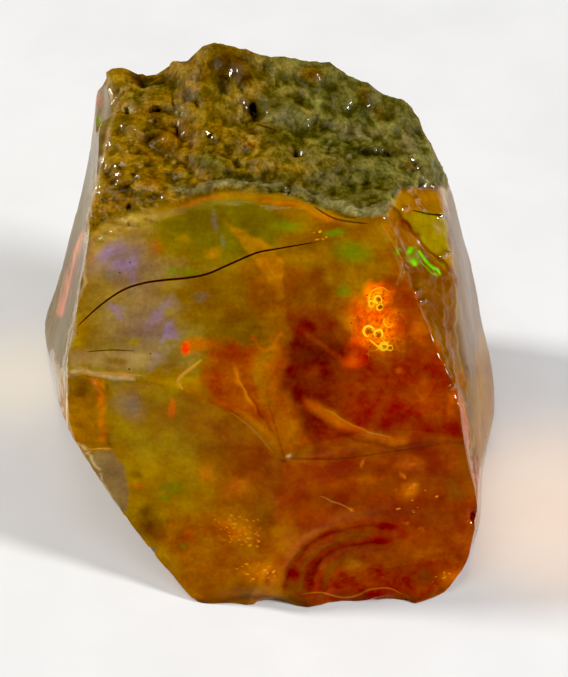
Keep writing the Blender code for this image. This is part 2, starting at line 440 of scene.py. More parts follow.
def ovals(surface, rows):
    """The sum of ovals, each with its share first, held to 1."""
    return np.clip(sum(share * surface.oval(*oval) for share, *oval in rows), 0, 1)


def beads(surface, places, size, swing=0.0, spin=0):
    """A small oval at each of these places, where size may swing and each is turned more than the last."""
    mask = np.zeros(len(surface.across))
    for number, (across, down) in enumerate(places):
        wide = size + swing * math.sin(number * 2.4)
        mask = np.maximum(mask, surface.oval(across, down, wide, wide * 0.8, spin * number))
    return mask


def shape_rind(stone):
    """The weathered top: lip, hollows, knobs, lumps, grit, pits and wet beads."""
    plain = Surface(stone)
    surface = plain.wavy()
    weigh(stone, "rind", rind_share(surface))
    weigh(stone, "rind_lip", surface.stroke(LIP, 15) * seen(surface))
    weigh(stone, "rough_left", surface.area(ROUGH_LEFT, 16) * seen(surface) * 0.5)
    weigh(stone, "rind_hollows", ovals(surface, (
        (1, 128, 110, 12, 10, 0, 0.8), (0.8, 250, 112, 13, 18, 0, 0.9), (0.4, 196, 104, 9, 9),
        (1, 362, 152, 17, 7, 10), (1, 155, 111, 11, 5), (0.6, 385, 152, 10, 7), (0.5, 300, 150, 18, 6, 15),
    )))
    weigh(stone, "rind_knobs", ovals(surface, (
        (1, 216, 168, 30, 17, 25, 0.9), (1, 313, 78, 20, 10, 10), (1, 136, 132, 12, 14),
        (1, 170, 140, 14, 12), (1, 262, 165, 16, 12), (1, 300, 118, 20, 14), (1, 229, 66, 19, 18),
        (1, 366, 96, 16, 13, 20), (1, 118, 82, 14, 12),
    )))
    weigh(stone, "wet_beads", beads(plain, WET_BEADS, 3.6, 1.2, 40) * seen(surface))
    lift_all(stone, (
        ("rind_lip", 0.14), ("rind_hollows", -0.45), ("rind_knobs", 0.30),
        ("rind", 0.40, clouds("rind_lumps", 1.3 * MM, 3), 0.46),
        ("rind", 0.18, clouds("rind_grit", 0.40 * MM), 0.46),
        ("rind", 0.13, pits("rind_pits", 0.75 * MM), 0.45),
        ("rough_left", 0.22, clouds("rough_grit", 0.4 * MM), 0.6),
        ("wet_beads", 0.16),
    ))


def shape_breaks(stone):
    """The glassy breaks: shell ripples, the torn facets' hackle, worn edges and a slow swell."""
    plain = Surface(stone)
    surface = plain.wavy(3.5, 2.0)
    front = seen(surface)
    x, y = surface.across - RIPPLE_CENTRE[0], surface.down - RIPPLE_CENTRE[1]
    ring = np.hypot(x, y)
    turn = np.degrees(np.arctan2(-y, x))
    window = ease(34, 46, ring) * (1 - ease(88, 118, ring)) * ease(62, 96, turn) * (1 - ease(150, 172, turn))
    wave = np.cos(2 * math.pi * (ring - 76) / RIPPLE_SPACING)
    weigh(stone, "ripples", front * window * (0.5 + 0.5 * wave))
    weigh(stone, "flakes", front * ovals(surface, (
        (1, 240, 532, 34, 26, 30), (1, 252, 576, 26, 18), (0.6, 420, 500, 40, 34), (0.6, 440, 575, 30, 18),
    )))
    torn = np.maximum(surface.area(TORN_LEFT, 5), surface.area(TORN_RIGHT, 5))
    torn = np.maximum(torn, 0.7 * surface.area([(452, 366), (472, 366), (474, 404), (454, 404)], 5))
    weigh(stone, "torn", torn * front)
    edges = np.maximum(surface.stroke(EDGE_LEFT, 9), surface.stroke(EDGE_RIGHT, 8))
    edges = np.maximum(edges, 0.5 * surface.stroke(CREASE, 8))
    for points, width in (
        ([(477, 480), (474, 514), (476, 541), (466, 572), (452, 592)], 12),
        ([(88, 455), (98, 484), (127, 517), (152, 548), (181, 591)], 8),
    ):
        edges = np.maximum(edges, surface.stroke(points, width))
    weigh(stone, "worn_edges", edges * ease(-0.3, 0.1, surface.facing))
    weigh(stone, "break_swell", 1 - rind_share(surface))
    weigh(stone, "nicks", ovals(surface, (
        (1, 474, 520, 6, 9), (0.8, 150, 552, 8, 6), (0.7, 181, 596, 8, 7),
    )))
    weigh(stone, "facet_beads", beads(plain, FACET_BEADS, 5.0) * front)
    lift_all(stone, (
        ("ripples", -0.06),
        ("flakes", 0.10, pits("flake_scales", 0.75 * MM), 0.6),
        ("torn", 0.20, clouds("torn_hackle", 0.60 * MM), 0.7),
        ("worn_edges", 0.15, clouds("edge_chips", 0.5 * MM), 0.7),
        ("break_swell", 0.07, clouds("swell", 2.6 * MM), 0.5),
        ("nicks", -0.22), ("facet_beads", 0.19),
    ))


# Colour, clearness and roughness painted on the stone's points. A table's row gives a mark's place, size or
# width, colour, strength and turn. A later mark lies over an earlier one.

BODY_GAIN = 1.5
RIND_GAIN = 0.62


def each(mark, rows, **more):
    """The same kind of mark with each of these rows of values."""
    for row in rows:
        mark(*row, **more)


class Brush:
    """Lays colours over one another on the points of the surface that face the camera."""

    def __init__(self, surface, colour, gain):
        self.surface, self.colour, self.gain = surface, colour, gain
        self.front = seen(surface)

    def on(self, surface):
        """The same brush, with its marks placed on another copy of the surface's picture points."""
        other = copy.copy(self)
        other.surface = surface
        return other

    def lay(self, mask, paint, strength=1.0):
        share = (np.clip(mask, 0, 1) * strength * self.front)[:, None]
        self.colour[:] = self.colour * (1 - share) + self.gain * paint * share

    def spot(self, across, down, wide, high, paint, strength=1.0, turn=0, soft=1.0):
        self.lay(self.surface.oval(across, down, wide, high, turn, soft), paint, strength)

    def line(self, points, width, paint, strength=1.0):
        self.lay(self.surface.stroke(points, width), paint, strength)

    def patch(self, corners, edge, paint, strength=1.0):
        self.lay(self.surface.area(corners, edge), paint, strength)


def paint_front_break(brush):
    """The large glassy break: khaki and violet haze on the left, olive amber above, dark red amber right."""
    loose = brush.on(brush.surface.wavy(*LOOSE))
    spot, line, patch = brush.spot, brush.line, brush.patch
    each(loose.patch, (
        ([(80, 215), (180, 195), (240, 205), (240, 330), (190, 380), (70, 375)], 40, KHAKI),
        ([(160, 200), (240, 195), (290, 200), (300, 240), (230, 262), (160, 240)], 30, OLIVE),
        ([(262, 196), (385, 215), (412, 300), (330, 310), (284, 262)], 34, OLIVE_AMBER * 0.92),
        ([(284, 262), (345, 262), (345, 315), (285, 320)], 30, BROWN_AMBER),
        ([(195, 262), (262, 270), (262, 360), (205, 352), (175, 300)], 36, SMOKE),
        ([(390, 240), (418, 285), (450, 370), (470, 440), (400, 440), (385, 330)], 34, AMBER * 0.85),
        ([(283, 318), (330, 322), (352, 345), (372, 375), (350, 440), (285, 440)], 30, RED_AMBER),
        ([(350, 372), (440, 350), (462, 400), (474, 445), (400, 452), (330, 440)], 40, BURNT_AMBER),
        ([(205, 345), (252, 350), (262, 400), (285, 455), (240, 425), (210, 395)], 24, AMBER),
    ))
    loose.spot(322, 352, 38, 30, DEEP_RED, 0.8)
    # violet haze and small patches of play of colour
    each(loose.spot, (
        (122, 262, 60, 42, VIOLET_GREY, 0.8, 20), (140, 325, 50, 42, VIOLET_GREY, 0.45, -30),
        (114, 250, 20, 17, VIOLET, 0.75, -20), (133, 270, 18, 13, VIOLET, 0.75, -30),
        (113, 312, 14, 9, VIOLET, 0.65, 10), (158, 318, 24, 13, VIOLET, 0.45, -50),
        (168, 336, 15, 11, VIOLET, 0.6, -20), (156, 356, 13, 13, VIOLET, 0.5),
        (92, 244, 12, 16, VIOLET_GREY, 0.4), (176, 306, 16, 12, VIOLET_GREY, 0.35),
    ))
    each(spot, (
        (145, 300, 22, 14, TAN, 0.5), (200, 296, 14, 9, BLUE_GREY, 0.35), (113, 278, 7, 7, BLUE_GREY, 0.7),
        (131, 341, 13, 7, YELLOW_GREEN, 0.7), (186, 270, 26, 7, MOSS_GREEN, 0.75),
        (170, 272, 6, 5, LEAF_GREEN, 0.6), (104, 237, 6, 7, LEAF_GREEN, 0.75, 30),
        (158, 247, 13, 11, ORANGE, 0.35), (215, 220, 6, 18, VIOLET_GREY, 0.45, -8),
        (222, 240, 5, 9, BLUE_GREY, 0.4, -8), (212, 251, 14, 9, HONEY, 0.85, 15),
        (184, 236, 9, 8, HONEY, 0.4), (285, 228, 24, 9, MOSS_GREEN, 0.8),
        (338, 233, 18, 5, LEAF_GREEN, 0.85, -8), (352, 251, 28, 18, LEAF_GREEN, 0.6, 20),
        (324, 218, 26, 10, ORANGE, 0.6, 10), (333, 277, 9, 15, YELLOW_OLIVE, 0.75),
        (346, 292, 12, 10, MOSS_GREEN, 0.85), (312, 296, 12, 14, OLIVE_AMBER, 0.5),
        (262, 386, 9, 12, YELLOW_OLIVE, 0.4), (300, 272, 18, 10, BURNT_AMBER, 0.35, 20),
        (416, 332, 12, 20, ORANGE, 0.65, -20), (398, 371, 7, 6, ORANGE, 0.8),
        (355, 362, 20, 12, HOT_RED, 0.45, -20), (300, 440, 20, 12, ORANGE, 0.4),
        (345, 384, 26, 18, BURNT_AMBER, 0.5), (196, 345, 22, 11, ORANGE, 0.75),
        (232, 304, 18, 26, BROWN_AMBER, 0.5, 10), (424, 396, 18, 26, ORANGE, 0.35, -20),
        (312, 372, 16, 10, BURNT_AMBER, 0.6),
    ))
    # the pale band above the crease on the left, the dark one in it, and a painted highlight along the
    # crease's edge
    patch([(72, 352), (100, 350), (150, 350), (170, 362), (120, 366), (72, 364)], 7, TAN, 0.6)
    spot(113, 359, 20, 6, SMOKE, 0.9, 3)
    spot(76, 360, 9, 9, TAN, 0.6)
    # painted highlight along the crease's edge
    line([(74, 371), (100, 373), (133, 376)], 7, CREAM, 0.55)
    spot(126, 372, 9, 3.5, PEACH, 0.6)
    # olive yellow sliver and the lighter band that runs down from it
    patch([(226, 222), (240, 230), (272, 246), (284, 262), (285, 300), (279, 306), (268, 282), (255, 262)],
          4, HONEY, 0.85)
    patch([(232, 226), (250, 234), (262, 256), (250, 254)], 5, YELLOW_OLIVE, 0.7)
    loose.patch([(252, 268), (284, 298), (284, 360), (262, 345), (256, 300)], 18, BROWN_AMBER, 0.7)
    loose.patch([(262, 338), (284, 350), (286, 452), (276, 420)], 16, ORANGE, 0.35)
    line([(250, 338), (264, 352), (280, 336)], 7, ORANGE, 0.5)
    # streaks and cracks that meet at the crease
    each(line, (
        ([(235, 370), (244, 390), (253, 408)], 7, ORANGE, 0.75),
        ([(216, 398), (240, 412), (258, 428), (272, 446)], 9, ORANGE, 0.5),
        ([(244, 386), (262, 420), (283, 455)], 5, RED_AMBER, 0.6),
        ([(306, 402), (330, 416), (352, 428), (384, 438), (404, 440)], 18, ORANGE, 0.65),
        ([(300, 412), (334, 432), (380, 446), (430, 442)], 6, RED_AMBER, 0.6),
        ([(285, 455), (330, 458), (372, 458), (410, 448), (474, 441)], 6, RED_AMBER, 0.6),
        ([(200, 361), (190, 368), (179, 382), (183, 390), (192, 394)], 6, YELLOW_GREEN, 0.95),
        ([(186, 392), (215, 405), (244, 424)], 6, ORANGE, 0.6),
        ([(300, 330), (322, 344), (344, 366)], 8, BURNT_AMBER, 0.6),
        ([(395, 240), (402, 262), (398, 282)], 7, TAN, 0.4),
    ))


def paint_lower_breaks(brush):
    """The breaks below the crease: olive yellow on the left, burnt orange right, gold at the foot, and a
    painted glow round the gold glints.
    """
    loose = brush.on(brush.surface.wavy(*LOOSE))
    spot, line, patch = brush.spot, brush.line, brush.patch
    each(loose.patch, (
        ([(72, 380), (180, 388), (215, 408), (205, 470), (190, 560), (95, 470)], 34, YELLOW_OLIVE),
        ([(185, 390), (245, 428), (287, 460), (290, 540), (215, 540), (195, 470)], 40, GOLD_BROWN),
        ([(235, 440), (287, 460), (290, 540), (240, 540)], 34, AMBER),
        ([(285, 460), (478, 445), (478, 545), (300, 560), (275, 500)], 26, BURNT_AMBER),
        ([(150, 540), (230, 500), (300, 545), (270, 605), (180, 605)], 40, GOLD_BROWN),
        ([(270, 560), (340, 555), (440, 560), (474, 540), (462, 600), (280, 610)], 28, BURNT_AMBER),
    ))
    each(spot, (
        (120, 400, 12, 18, TAN, 0.5), (133, 405, 18, 24, VIOLET_GREY, 0.6, -15),
        (165, 412, 20, 18, HONEY, 0.6), (140, 445, 28, 22, YELLOW_GREEN, 0.45),
        (172, 488, 20, 12, MOSS_GREEN, 0.6), (137, 474, 11, 7, DARK_BROWN, 0.7, 20),
        (137, 487, 8, 6, ORANGE, 0.85, 30), (150, 525, 20, 30, DARK_BROWN, 0.85, -20),
        (146, 512, 12, 10, DARK_BROWN, 0.8), (190, 536, 9, 8, ORANGE, 0.7),
        (205, 476, 14, 13, BRIGHT_ORANGE, 0.6), (236, 488, 24, 15, BRIGHT_ORANGE, 0.6, -15),
        (262, 515, 22, 26, BROWN_AMBER, 0.6), (216, 450, 22, 16, BROWN_AMBER, 0.6),
        (412, 464, 22, 13, BRIGHT_ORANGE, 0.6), (408, 492, 14, 13, BRIGHT_ORANGE, 0.6),
        (455, 490, 16, 16, BROWN_AMBER, 0.7, -40), (450, 402, 9, 22, ORANGE, 0.7),
        (330, 500, 34, 14, RED_AMBER, 0.5, 10), (380, 510, 30, 10, RED_AMBER, 0.5),
        (462, 540, 16, 14, ORANGE, 0.5), (452, 578, 18, 14, BRIGHT_ORANGE, 0.6),
        (424, 578, 16, 14, BROWN_AMBER, 0.7), (355, 567, 18, 14, HONEY, 0.5),
        (200, 580, 26, 16, YELLOW_OLIVE, 0.35), (290, 590, 18, 12, BROWN_AMBER, 0.7),
        # painted light: a bright orange glow round the gold glints
        (240, 530, 34, 20, BRIGHT_ORANGE, 0.6, 25), (254, 575, 28, 16, BRIGHT_ORANGE, 0.55, 5),
        (166, 498, 9, 5, LEAF_GREEN, 0.6), (182, 549, 8, 5, LEAF_GREEN, 0.55),
        (370, 478, 26, 8, ORANGE, 0.4),
    ))
    # ripples: dark arcs with gold brown between them
    for arc, paint, width in (
        ([(262, 585), (272, 566), (290, 548), (318, 531), (350, 524)], AMBER, 9),
        ([(281, 590), (288, 567), (304, 549), (321, 539), (342, 532), (366, 526), (392, 524)], RED_AMBER, 8),
        ([(296, 590), (302, 572), (312, 560), (330, 547), (350, 539), (372, 536)], BROWN_AMBER, 8),
        ([(306, 592), (311, 579), (321, 564), (339, 553), (358, 545), (385, 542)], RED_AMBER, 7),
        ([(318, 596), (326, 580), (340, 565), (360, 556)], BROWN_AMBER, 9),
    ):
        line(arc, width, paint, 0.75)
    line([(172, 598), (222, 601), (257, 599), (313, 603), (381, 603), (454, 589)], 9, DARK_BROWN, 0.75)
    spot(283, 460, 8, 4, DEEP_RED, 0.9)
    # painted highlight: a small pale glint where the cracks meet
    spot(287, 453, 5, 2.5, CREAM, 0.9, -25)
    for across, down, wide, turn in (
        (362, 465, 5, -60), (351, 509, 6, 20), (415, 466, 6, 10), (414, 489, 6, -10),
        (425, 528, 5, 10), (410, 521, 3, 40), (459, 577, 3, 0), (404, 475, 5, 60),
    ):
        spot(across, down, wide, 2.5, BRIGHT_ORANGE, 0.9, turn)
    # the small chip facet and the torn facet on the left
    patch([(86, 452), (112, 451), (124, 470), (128, 514), (108, 504), (96, 478)], 4, TAN * 0.7, 0.9)
    patch(TORN_LEFT, 5, HONEY, 0.6)
    patch(TORN_LEFT, 8, BROWN_AMBER, 0.6)
    line([(92, 380), (100, 392), (104, 440)], 12, ORANGE, 0.6)
    spot(85, 392, 6, 9, DARK_BROWN, 0.6)
    spot(82, 428, 12, 6, DARK_BROWN, 0.6, 30)
    line([(69, 376), (65, 404), (67, 421), (74, 441), (88, 451), (95, 468), (101, 486), (118, 508)],
         4, CREAM, 0.7)


def paint_right_side(brush):
    """The brown flank, its colours darkened as painted shade, the small yellow facet, and the torn strip
    under it with its green flashes.
    """
    spot, line, patch = brush.spot, brush.line, brush.patch
    # painted shade: the flank below is laid in darkened copies of its colours, to hold down the strong light
    # the side lamp gives it
    patch(FLANK_RIGHT, 12, TAN * 0.30, 0.85)
    patch([(455, 250), (480, 250), (498, 360), (492, 440), (470, 470), (456, 380)], 30, HONEY * 0.26, 0.7)
    line([(461, 215), (468, 300), (472, 370)], 14, VIOLET_GREY * 0.5, 0.35)
    line([(454, 240), (458, 330), (466, 380)], 4, TAN * 0.6, 0.7)
    patch([(478, 330), (496, 340), (496, 430), (480, 470), (474, 420)], 8, HONEY * 0.5, 0.6)
    spot(462, 380, 10, 22, BROWN_AMBER, 0.9, -8)
    line([(458, 398), (464, 420), (470, 446)], 12, ORANGE * 0.6, 0.9)
    line([(476, 350), (481, 400), (478, 440)], 7, HONEY * 0.5, 0.6)
    patch([(388, 196), (445, 190), (448, 241), (457, 280), (430, 256), (410, 232)], 4, YELLOW_GREEN * 0.68)
    patch([(390, 194), (444, 190), (446, 212), (400, 216)], 6, HONEY * 0.7, 0.9)
    spot(436, 228, 10, 12, TAN, 0.5)
    patch([(440, 250), (452, 252), (457, 280), (446, 270)], 4, HONEY * 0.6, 0.8)
    patch(TORN_RIGHT, 4, BROWN_AMBER * 0.62)
    patch([(392, 214), (404, 220), (420, 246), (412, 252), (398, 240)], 4, BROWN_AMBER, 0.7)
    line([(390, 204), (406, 226), (424, 246), (442, 262), (456, 278)], 6, DARK_BROWN, 0.95)
    line([(402, 222), (418, 242), (438, 260)], 3, RED_AMBER, 0.8)
    line([(376, 222), (390, 246), (404, 278)], 5, TAN * 0.7, 0.5)
    line([(386, 218), (398, 236), (410, 262)], 4, TAN * 0.7, 0.4)
    each(spot, (
        (414, 258, 12, 11, MOSS_GREEN, 0.7, 30), (414, 263, 6, 4, LIVE_GREEN, 0.95, 30),
        (410, 251, 6, 3.5, LIVE_GREEN, 0.85, -30),
    ))
    line([(418, 253), (427, 262), (441, 274)], 4, LIVE_GREEN, 0.8)
    line([(420, 262), (430, 270), (438, 276)], 3, LEAF_GREEN, 0.8)
    spot(396, 251, 5, 7, LEAF_GREEN, 0.9, -20)


def paint_left_side(brush):
    """The smoky left flank, its colours darkened as painted shade, behind its cream edge, with an orange
    flash down it.
    """
    spot, line, patch = brush.spot, brush.line, brush.patch
    # painted shade: the flank below is laid in darkened copies of its colours, to hold down the strong light
    # the lamps give it
    patch(FLANK_LEFT, 5, KHAKI * 0.45, 0.97)
    patch([(98, 88), (110, 92), (112, 112), (98, 150), (88, 150)], 6, TAN * 0.5, 0.5)
    each(spot, (
        (97, 101, 4, 7, ORANGE, 0.7), (99, 121, 4, 8, LEAF_GREEN, 0.7), (95, 186, 4, 5, LEAF_GREEN, 0.6),
    ))
    line([(81, 232), (72, 268), (60, 316)], 12, PEACH * 0.55, 0.9)
    spot(59, 343, 8, 7, BLUE_GREY * 0.5, 0.8)
    patch([(40, 326), (54, 318), (60, 350), (66, 372), (46, 346)], 5, KHAKI * 0.5, 0.6)
    line(EDGE_LEFT, 5, CREAM * 0.7, 0.7)
    line([(113, 140), (102, 176), (95, 212)], 6, KHAKI, 0.7)
    line([(106, 200), (98, 228), (94, 262)], 5, ORANGE, 0.5)


def paint_rind(brush):
    """Ochre and brown on the left, grey-green on the right, with knobs, dark hollows and a grey lip."""
    spot, line = brush.spot, brush.line
    each(spot, (
        (150, 150, 60, 45, OCHRE, 0.8), (168, 140, 26, 15, RUST, 0.6, 10), (150, 178, 30, 18, RUST, 0.35),
        (125, 185, 26, 22, OCHRE, 0.7), (110, 80, 14, 12, SAND, 0.7), (120, 74, 12, 8, OCHRE, 0.7),
        (140, 98, 24, 16, MOSS, 0.35, 20), (176, 112, 22, 10, MOSS, 0.3, 20),
        (196, 78, 10, 12, GREY_MOSS, 0.6), (200, 140, 20, 12, SAND, 0.5), (190, 172, 20, 12, MOSS, 0.3),
        (156, 112, 16, 7, KNOB_BROWN, 0.95, 10), (129, 108, 10, 9, PALE_STONE, 0.8),
        (128, 119, 13, 5, KNOB_BROWN, 0.95), (150, 86, 18, 8, MOSS, 0.8, 20),
        (165, 92, 16, 7, SAND, 0.7, 20), (184, 128, 16, 12, KNOB_BROWN, 0.5),
        (230, 64, 27, 34, KNOB_BROWN, 0.97), (226, 60, 14, 14, SOOT, 0.4), (226, 92, 9, 9, SOOT, 0.5),
        (246, 78, 8, 16, RUST, 0.8), (205, 78, 10, 12, RUST, 0.8), (192, 98, 15, 10, GREY_MOSS, 0.85),
        (186, 94, 9, 7, DARK_MOSS, 0.85), (216, 104, 28, 9, SAND, 0.9, 50),
        (236, 128, 30, 10, SAND, 0.7, 35), (262, 108, 32, 22, MOSS, 0.6, 10),
        (256, 104, 12, 9, DARK_MOSS, 0.7), (286, 120, 26, 14, GREY_MOSS, 0.8),
        (290, 142, 28, 7, DARK_MOSS, 0.7, 15), (258, 152, 28, 14, SAND, 0.8, 15),
        (250, 146, 9, 6, RUST, 0.7, 20), (212, 160, 28, 14, MOSS, 0.8, 20),
        (222, 174, 22, 13, DARK_MOSS, 0.7, 25), (236, 176, 18, 7, DARK_MOSS, 0.7, 30),
        (295, 166, 28, 10, OCHRE, 0.85, 5), (313, 76, 20, 10, RUST, 0.95, 5),
        (345, 84, 26, 10, MOSS, 0.7, 15), (366, 96, 17, 15, KNOB_BROWN, 0.8, 20),
        (380, 112, 16, 12, KNOB_BROWN, 0.8, 30), (330, 110, 30, 12, MOSS, 0.7, 10),
        (352, 132, 26, 10, GREY_MOSS, 0.6, 5), (362, 150, 24, 10, SOOT, 0.95, 5),
        (388, 150, 20, 12, DARK_MOSS, 0.8, 20), (412, 166, 14, 10, KNOB_BROWN, 0.85, 20),
        (324, 176, 22, 12, GREY_MOSS, 0.8, 5), (372, 186, 26, 12, MOSS, 0.7, 10),
        (345, 168, 18, 10, DARK_MOSS, 0.7), (410, 140, 14, 16, PALE_STONE, 0.5, 30),
        (182, 186, 22, 9, GREY_MOSS, 0.8, 10), (398, 108, 10, 14, DARK_MOSS, 0.7, 30),
        (330, 96, 24, 8, DARK_MOSS, 0.5, 12), (350, 192, 20, 10, DARK_MOSS, 0.6),
    ), soft=0.9)
    line([(196, 188), (240, 182), (290, 188), (330, 200), (362, 212), (388, 204)], 17, GREY_MOSS, 0.95)
    line([(248, 186), (290, 190), (312, 196)], 7, DARK_MOSS, 0.7)
    line([(215, 192), (255, 190), (300, 198), (340, 214)], 4, SOOT, 0.4)
    line([(345, 210), (372, 214), (396, 222)], 12, PALE_STONE, 0.7)
    for across, down in (
        (205, 165), (218, 157), (226, 172), (214, 178), (178, 190), (259, 186), (268, 162), (234, 182),
        (301, 138), (350, 135), (415, 170), (430, 166), (174, 112), (330, 122), (300, 104),
    ):
        spot(across, down, 4.5, 3.5, SOOT, 0.8)


def paint_under_lip(brush):
    """The sandy, olive and orange seam between the rind and the glassy break."""
    line = brush.line
    brush.patch([(95, 195), (190, 196), (180, 214), (150, 222), (120, 240), (88, 262)], 12, SAND, 0.8)
    line([(160, 208), (186, 200), (225, 197), (256, 200)], 12, OLIVE_AMBER, 0.8)
    line([(186, 201), (206, 198), (225, 197)], 6, ORANGE, 0.35)
    line([(256, 202), (300, 210), (335, 224), (365, 232)], 15, BROWN_AMBER, 0.6)
    line([(262, 203), (300, 209), (330, 221)], 7, ORANGE, 0.4)


def paint_fire(brush):
    """The fire spot, orange with a red foot and a yellow side, and two small flashes. Gives its mask."""
    glowing = brush.surface.wavy(1, 4)
    glow = brush.on(glowing)
    brush.spot(350, 318, 16, 13, YELLOW_OLIVE, 0.8)
    glow.spot(374, 322, 42, 40, ORANGE, 0.7, 20)
    glow.spot(356, 354, 28, 17, HOT_RED * 0.38, 0.85, -35)
    fire = np.maximum(glowing.oval(376, 324, 36, 31, 30, 0.9), glowing.oval(380, 294, 18, 15, -10, 0.9))
    glow.lay(fire, FLAME, 0.95)
    each(glow.spot, (
        (360, 340, 17, 13, HOT_RED, 0.8), (376, 316, 9, 12, HOT_RED, 0.5),
        (384, 340, 13, 9, YELLOW_FIRE, 0.45), (379, 302, 9, 9, YELLOW_FIRE, 0.4),
    ))
    brush.spot(184, 348, 7, 8, HOT_RED, 0.95, -30, 0.7)
    brush.spot(172, 411, 5, 13, FLAME, 0.9, 5, 0.7)
    return fire


# Fine lines: their points, half width and strength

DARK_LINES = [
    ([(75, 329), (85, 319), (102, 304), (123, 290), (144, 283), (165, 280), (186, 278), (207, 274),
      (228, 265), (256, 253), (276, 249), (299, 245), (322, 241)], 1.25, 1.0),
    ([(411, 210), (429, 214), (443, 216), (449, 223)], 1.1, 0.9),
    ([(85, 352), (110, 350), (136, 351)], 0.8, 0.7),
    ([(296, 458), (337, 459), (389, 452), (444, 444)], 1.0, 0.45),
    ([(268, 402), (276, 428), (284, 456)], 1.0, 0.25),
    ([(255, 124), (266, 127), (277, 131)], 1.2, 0.8),
    ([(313, 206), (336, 219), (370, 224)], 1.1, 0.8),
    ([(376, 299), (381, 299)], 1.9, 0.6),
    ([(378, 307), (383, 307)], 1.7, 0.6),
    ([(366, 332), (372, 331)], 2.4, 0.6),
    ([(376, 336), (381, 335)], 2.4, 0.75),
    ([(382, 346), (387, 347)], 1.6, 0.6),
    ([(354, 320), (361, 321)], 3.2, 0.35),
]
LIGHT_LINES = [
    # a painted highlight along the crease's edge on the left
    ([(74, 373), (100, 374), (122, 374), (144, 376)], 1.3, 0.7),
    ([(380, 219), (386, 231), (394, 244), (403, 262)], 1.0, 0.25),
    ([(318, 496), (334, 502), (352, 510)], 1.0, 0.35),
    ([(299, 595), (322, 592), (348, 598), (381, 587), (403, 595)], 1.0, 0.35),
    ([(235, 370), (243, 388), (252, 406)], 1.0, 0.4),
    ([(322, 408), (344, 420), (366, 431), (394, 438)], 1.3, 0.35),
    ([(228, 410), (251, 428), (274, 454)], 1.0, 0.35),
    ([(87, 449), (100, 449), (112, 449)], 1.0, 0.7),
    ([(203, 359), (188, 370), (177, 381), (184, 390)], 1.6, 0.9),
]


def ring(across, down, radius, start=0, end=360):
    """Points round a small ring or part of one, in degrees."""
    turns = [math.radians(start + (end - start) * step / 8) for step in range(9)]
    return [(across + radius * math.cos(turn), down + radius * math.sin(turn)) for turn in turns]


FIRE_RINGS = [
    (ring(378, 299, 3.4), 0.9, 1.0), (ring(380, 307, 3.2), 0.9, 1.0), (ring(372, 303, 2.6), 0.9, 0.9),
    (ring(369, 331, 5.0, 90, 350), 1.3, 1.0), (ring(378, 335, 4.6, 160, 400), 1.3, 1.0),
    (ring(384, 346, 4.0), 1.4, 1.0), (ring(390, 348, 3.0), 1.0, 0.9),
    (ring(388, 322, 5.0, 0, 250), 0.8, 0.5),
    ([(368, 302), (370, 295), (374, 290), (384, 288), (390, 293)], 1.0, 0.5),
    ([(368, 338), (374, 344), (382, 347), (389, 341)], 1.1, 0.9),
]


def fine_lines(surface, lines):
    """The distance from the nearest of these lines, in half widths with a side, and how strongly it shows."""
    distance, strength = np.full(len(surface.across), FAR), np.zeros(len(surface.across))
    for points, half_width, depth in lines:
        away, along = surface.to_line(bend(points), LINE_REACH)
        taper = half_width * np.clip(4 * along * (1 - along), 0.02, 1) ** 0.5
        close = np.abs(away / taper) < np.abs(distance)
        distance[close] = (away / taper)[close]
        ends = 1.0 if points[0] == points[-1] else ease(0, 0.06, along) * ease(0, 0.06, 1 - along)
        strength[close] = (depth * ends * np.ones(len(along)))[close]
    return np.clip(distance, -FAR, FAR), strength


